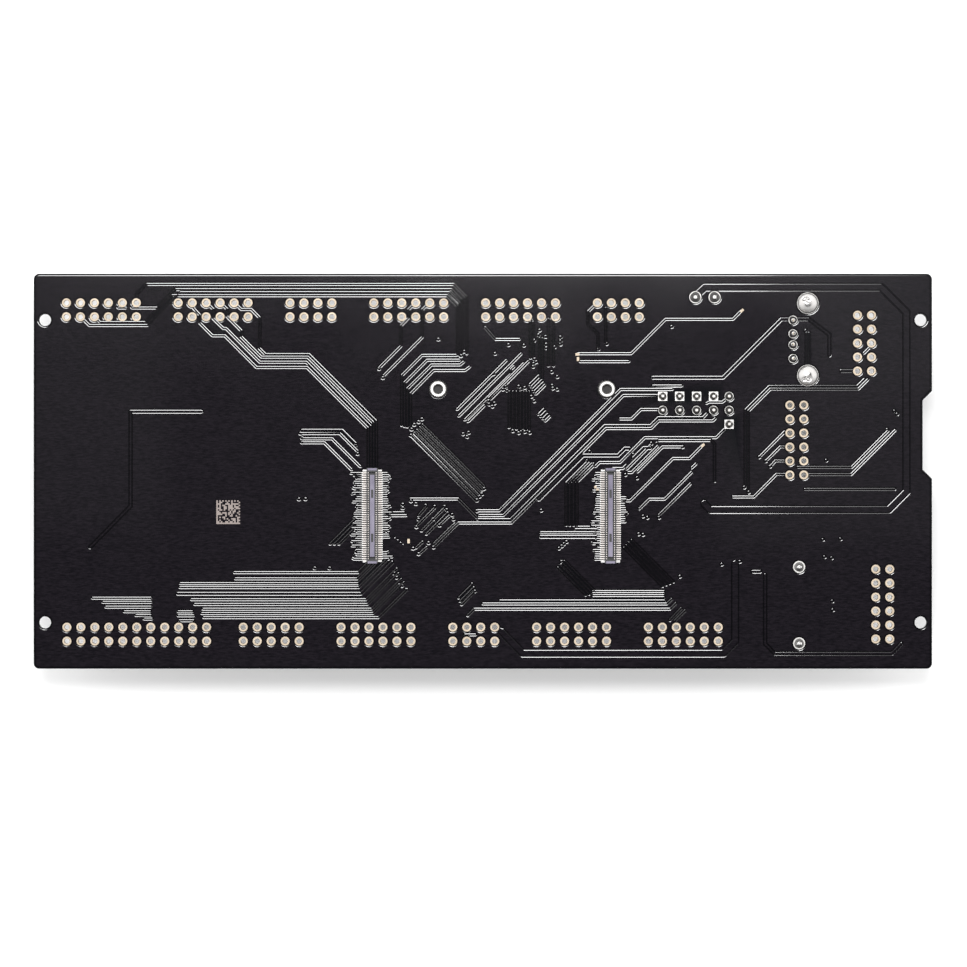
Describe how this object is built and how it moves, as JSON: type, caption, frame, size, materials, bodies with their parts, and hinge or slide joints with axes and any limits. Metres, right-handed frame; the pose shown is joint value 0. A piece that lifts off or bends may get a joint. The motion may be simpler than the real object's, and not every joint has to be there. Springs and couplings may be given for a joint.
{
  "type": "breakout board",
  "caption": "Long black circuit board that breaks a plug-in computer module out to rows of open header holes, with two mezzanine sockets, a USB port and a power header.",
  "frame": {"origin": "middle of the board's outline in plan, at the level of the USB receptacle's mouth, the lowest part", "axes": "+X along the board's long side towards the card notch, +Y across it towards the edge with the power header, +Z out of the solder side, which is up"},
  "size_m": [0.1632, 0.0718, 0.0171],
  "materials": {
    "board": "black solder mask over glass-epoxy laminate, satin gloss",
    "gold": "thin gold plating, bright",
    "tin": "tin plating, satin",
    "nickel": "nickel-plated sheet, satin",
    "solder": "bright solder",
    "black_moulding": "fine matt moulding",
    "white_moulding": "fine matt moulding",
    "green_moulding": "fine matt moulding",
    "epoxy": "matt moulded epoxy",
    "ceramic": "fired ceramic, satin"
  },
  "bodies": {
    "root": {"capacitor_bodies": "ceramic", "capacitor_caps": "tin", "card_socket_base": "black_moulding", "card_socket_contacts": "gold", "card_socket_cover": "nickel", "chip_body": "epoxy", "chip_pads": "tin", "circuit_board": "board", "coin_cell_retainer": "nickel", "header_pin_solder": "solder", "inductor_body": "epoxy", "inductor_terminals": "tin", "jumper_1_base": "black_moulding", "jumper_1_pins": "gold", "jumper_2_base": "black_moulding", "jumper_2_pins": "gold", "jumper_3_base": "black_moulding", "jumper_3_pins": "gold", "jumper_4_base": "black_moulding", "jumper_4_pins": "gold", "mezzanine_left_anchors": "tin", "mezzanine_left_contacts": "gold", "mezzanine_left_housing": "black_moulding", "mezzanine_right_anchors": "tin", "mezzanine_right_contacts": "gold", "mezzanine_right_housing": "black_moulding", "power_header_housing": "green_moulding", "power_header_pins": "tin", "power_pin_solder": "solder", "regulator_body": "epoxy", "regulator_legs": "tin", "retainer_solder": "solder", "selector_base": "black_moulding", "selector_pins": "gold", "spacer_left": "tin", "spacer_right": "tin", "tab_solder": "solder", "usb_contacts": "gold", "usb_insulator": "white_moulding", "usb_pin_solder": "solder", "usb_shell": "nickel"}
  },
  "joints": []
}
